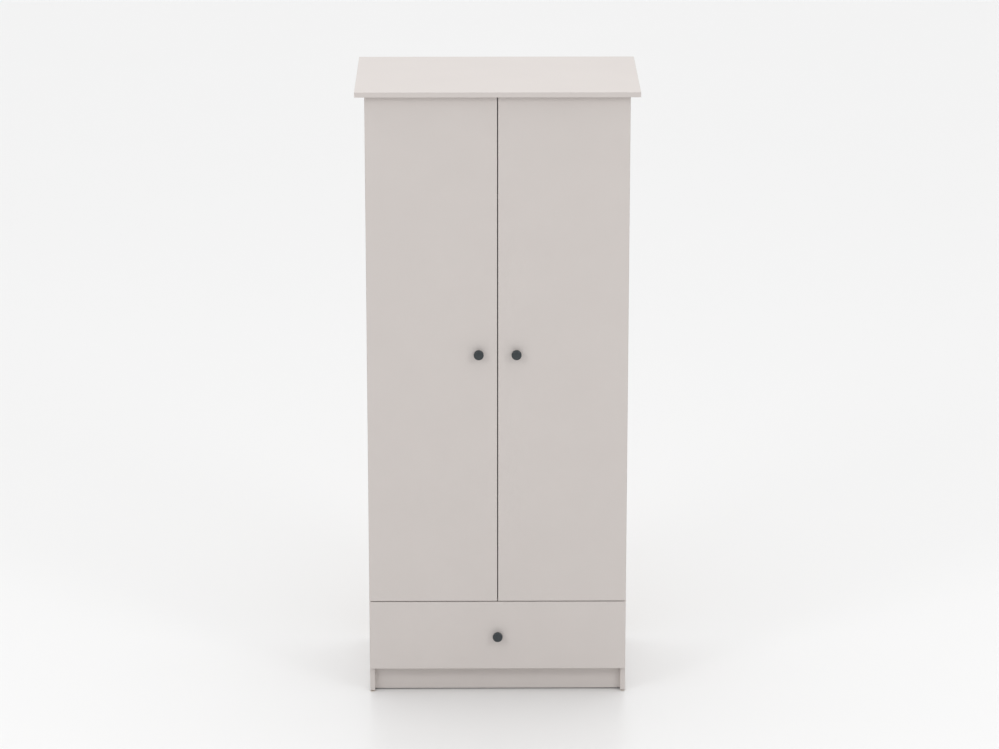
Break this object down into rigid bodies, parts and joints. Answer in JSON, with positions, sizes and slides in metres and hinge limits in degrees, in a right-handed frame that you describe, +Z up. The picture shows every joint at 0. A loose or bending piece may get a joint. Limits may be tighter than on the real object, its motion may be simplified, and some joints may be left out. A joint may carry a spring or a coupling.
{
  "type": "wardrobe",
  "caption": "Tall wardrobe with hinged doors over one full-width drawer, overhanging top, recessed plinth and round knobs.",
  "frame": {"origin": "on the floor, under the middle of the top panel", "axes": "+X to the right seen from the front, +Y from the doors to the back, +Z up"},
  "size_m": [0.89, 0.56, 2],
  "materials": {
    "faced_board": "matt greige melamine on 16 mm particle board, edges banded",
    "hardboard": "thin hardboard, lacquered greige on its inner face",
    "beech": "fluted raw beech",
    "black_metal": "satin black powder coat on cast zinc",
    "nickel_steel": "pressed steel, bright nickel plate",
    "zinc_steel": "zinc-plated steel",
    "zinc_cast": "cast zinc, as cast",
    "chrome_tube": "polished chrome",
    "white_steel": "white epoxy coat on rolled steel",
    "white_nylon": "moulded nylon",
    "strip_plastic": "extruded plastic, greige",
    "dark_plastic": "moulded plastic",
    "clear_rubber": "soft clear polyurethane"
  },
  "bodies": {
    "carcass": {"left_side_panel": "faced_board", "right_side_panel": "faced_board", "top_panel": "faced_board", "hat_shelf": "faced_board", "middle_deck": "faced_board", "bottom_panel": "faced_board", "plinth_board": "faced_board", "rear_rail": "faced_board", "left_back_panel": "hardboard", "right_back_panel": "hardboard", "back_joining_strip": "strip_plastic", "back_panel_nails": "zinc_steel", "hanging_rail": "chrome_tube", "left_rail_socket": "zinc_cast", "right_rail_socket": "zinc_cast", "rail_socket_screws": "zinc_steel", "floor_glides": "dark_plastic", "cam_locks": "zinc_cast", "cam_bolts": "zinc_steel", "wood_dowels": "beech", "left_cabinet_runner": "white_steel", "right_cabinet_runner": "white_steel", "cabinet_runner_screws": "zinc_steel", "hinge_arms": "nickel_steel", "hinge_hooks": "nickel_steel", "hinge_plates": "nickel_steel", "hinge_plate_screws": "zinc_steel", "hinge_adjusting_screws": "zinc_steel", "wall_brackets": "zinc_steel", "wall_bracket_screws": "zinc_steel"},
    "left_door": {"left_door_panel": "faced_board", "left_hinge_cups": "nickel_steel", "left_hinge_pins": "nickel_steel", "left_hinge_cup_screws": "zinc_steel", "left_door_knob": "black_metal", "left_knob_screw": "zinc_steel", "left_door_bumpers": "clear_rubber"},
    "right_door": {"right_door_panel": "faced_board", "right_hinge_cups": "nickel_steel", "right_hinge_pins": "nickel_steel", "right_hinge_cup_screws": "zinc_steel", "right_door_knob": "black_metal", "right_knob_screw": "zinc_steel", "right_door_bumpers": "clear_rubber"},
    "drawer": {"drawer_front": "faced_board", "drawer_left_side": "faced_board", "drawer_right_side": "faced_board", "drawer_back": "faced_board", "drawer_bottom": "hardboard", "left_drawer_runner": "white_steel", "right_drawer_runner": "white_steel", "drawer_runner_screws": "zinc_steel", "drawer_knob": "black_metal", "drawer_knob_screw": "zinc_steel", "drawer_cam_locks": "zinc_cast", "drawer_cam_bolts": "zinc_steel", "drawer_dowels": "beech", "drawer_back_screws": "zinc_steel"},
    "front_rollers": {"front_rollers": "white_nylon"},
    "rear_rollers": {"rear_rollers": "white_nylon"}
  },
  "joints": [
    {"name": "left_door_hinge", "type": "hinge", "parent": "carcass", "child": "left_door", "pos_m": [-0.407, -0.244, 1.1495], "axis": [0, 0, -1], "range_deg": [0, 95]},
    {"name": "right_door_hinge", "type": "hinge", "parent": "carcass", "child": "right_door", "pos_m": [0.407, -0.244, 1.1495], "axis": [0, 0, 1], "range_deg": [0, 95]},
    {"name": "drawer_slide", "type": "slide", "parent": "carcass", "child": "drawer", "axis": [0, -1, 0], "range_m": [0, 0.335]},
    {"name": "front_roller_spin", "type": "hinge", "parent": "carcass", "child": "front_rollers", "pos_m": [0, -0.217, 0.129], "axis": [1, 0, 0], "continuous": true},
    {"name": "rear_roller_spin", "type": "hinge", "parent": "drawer", "child": "rear_rollers", "pos_m": [0, 0.204, 0.129], "axis": [1, 0, 0], "continuous": true}
  ],
  "couplings": [
    {"joint": "front_roller_spin", "follows": "drawer_slide", "rad_per_m": 111.73},
    {"joint": "rear_roller_spin", "follows": "drawer_slide", "rad_per_m": 111.73}
  ]
}
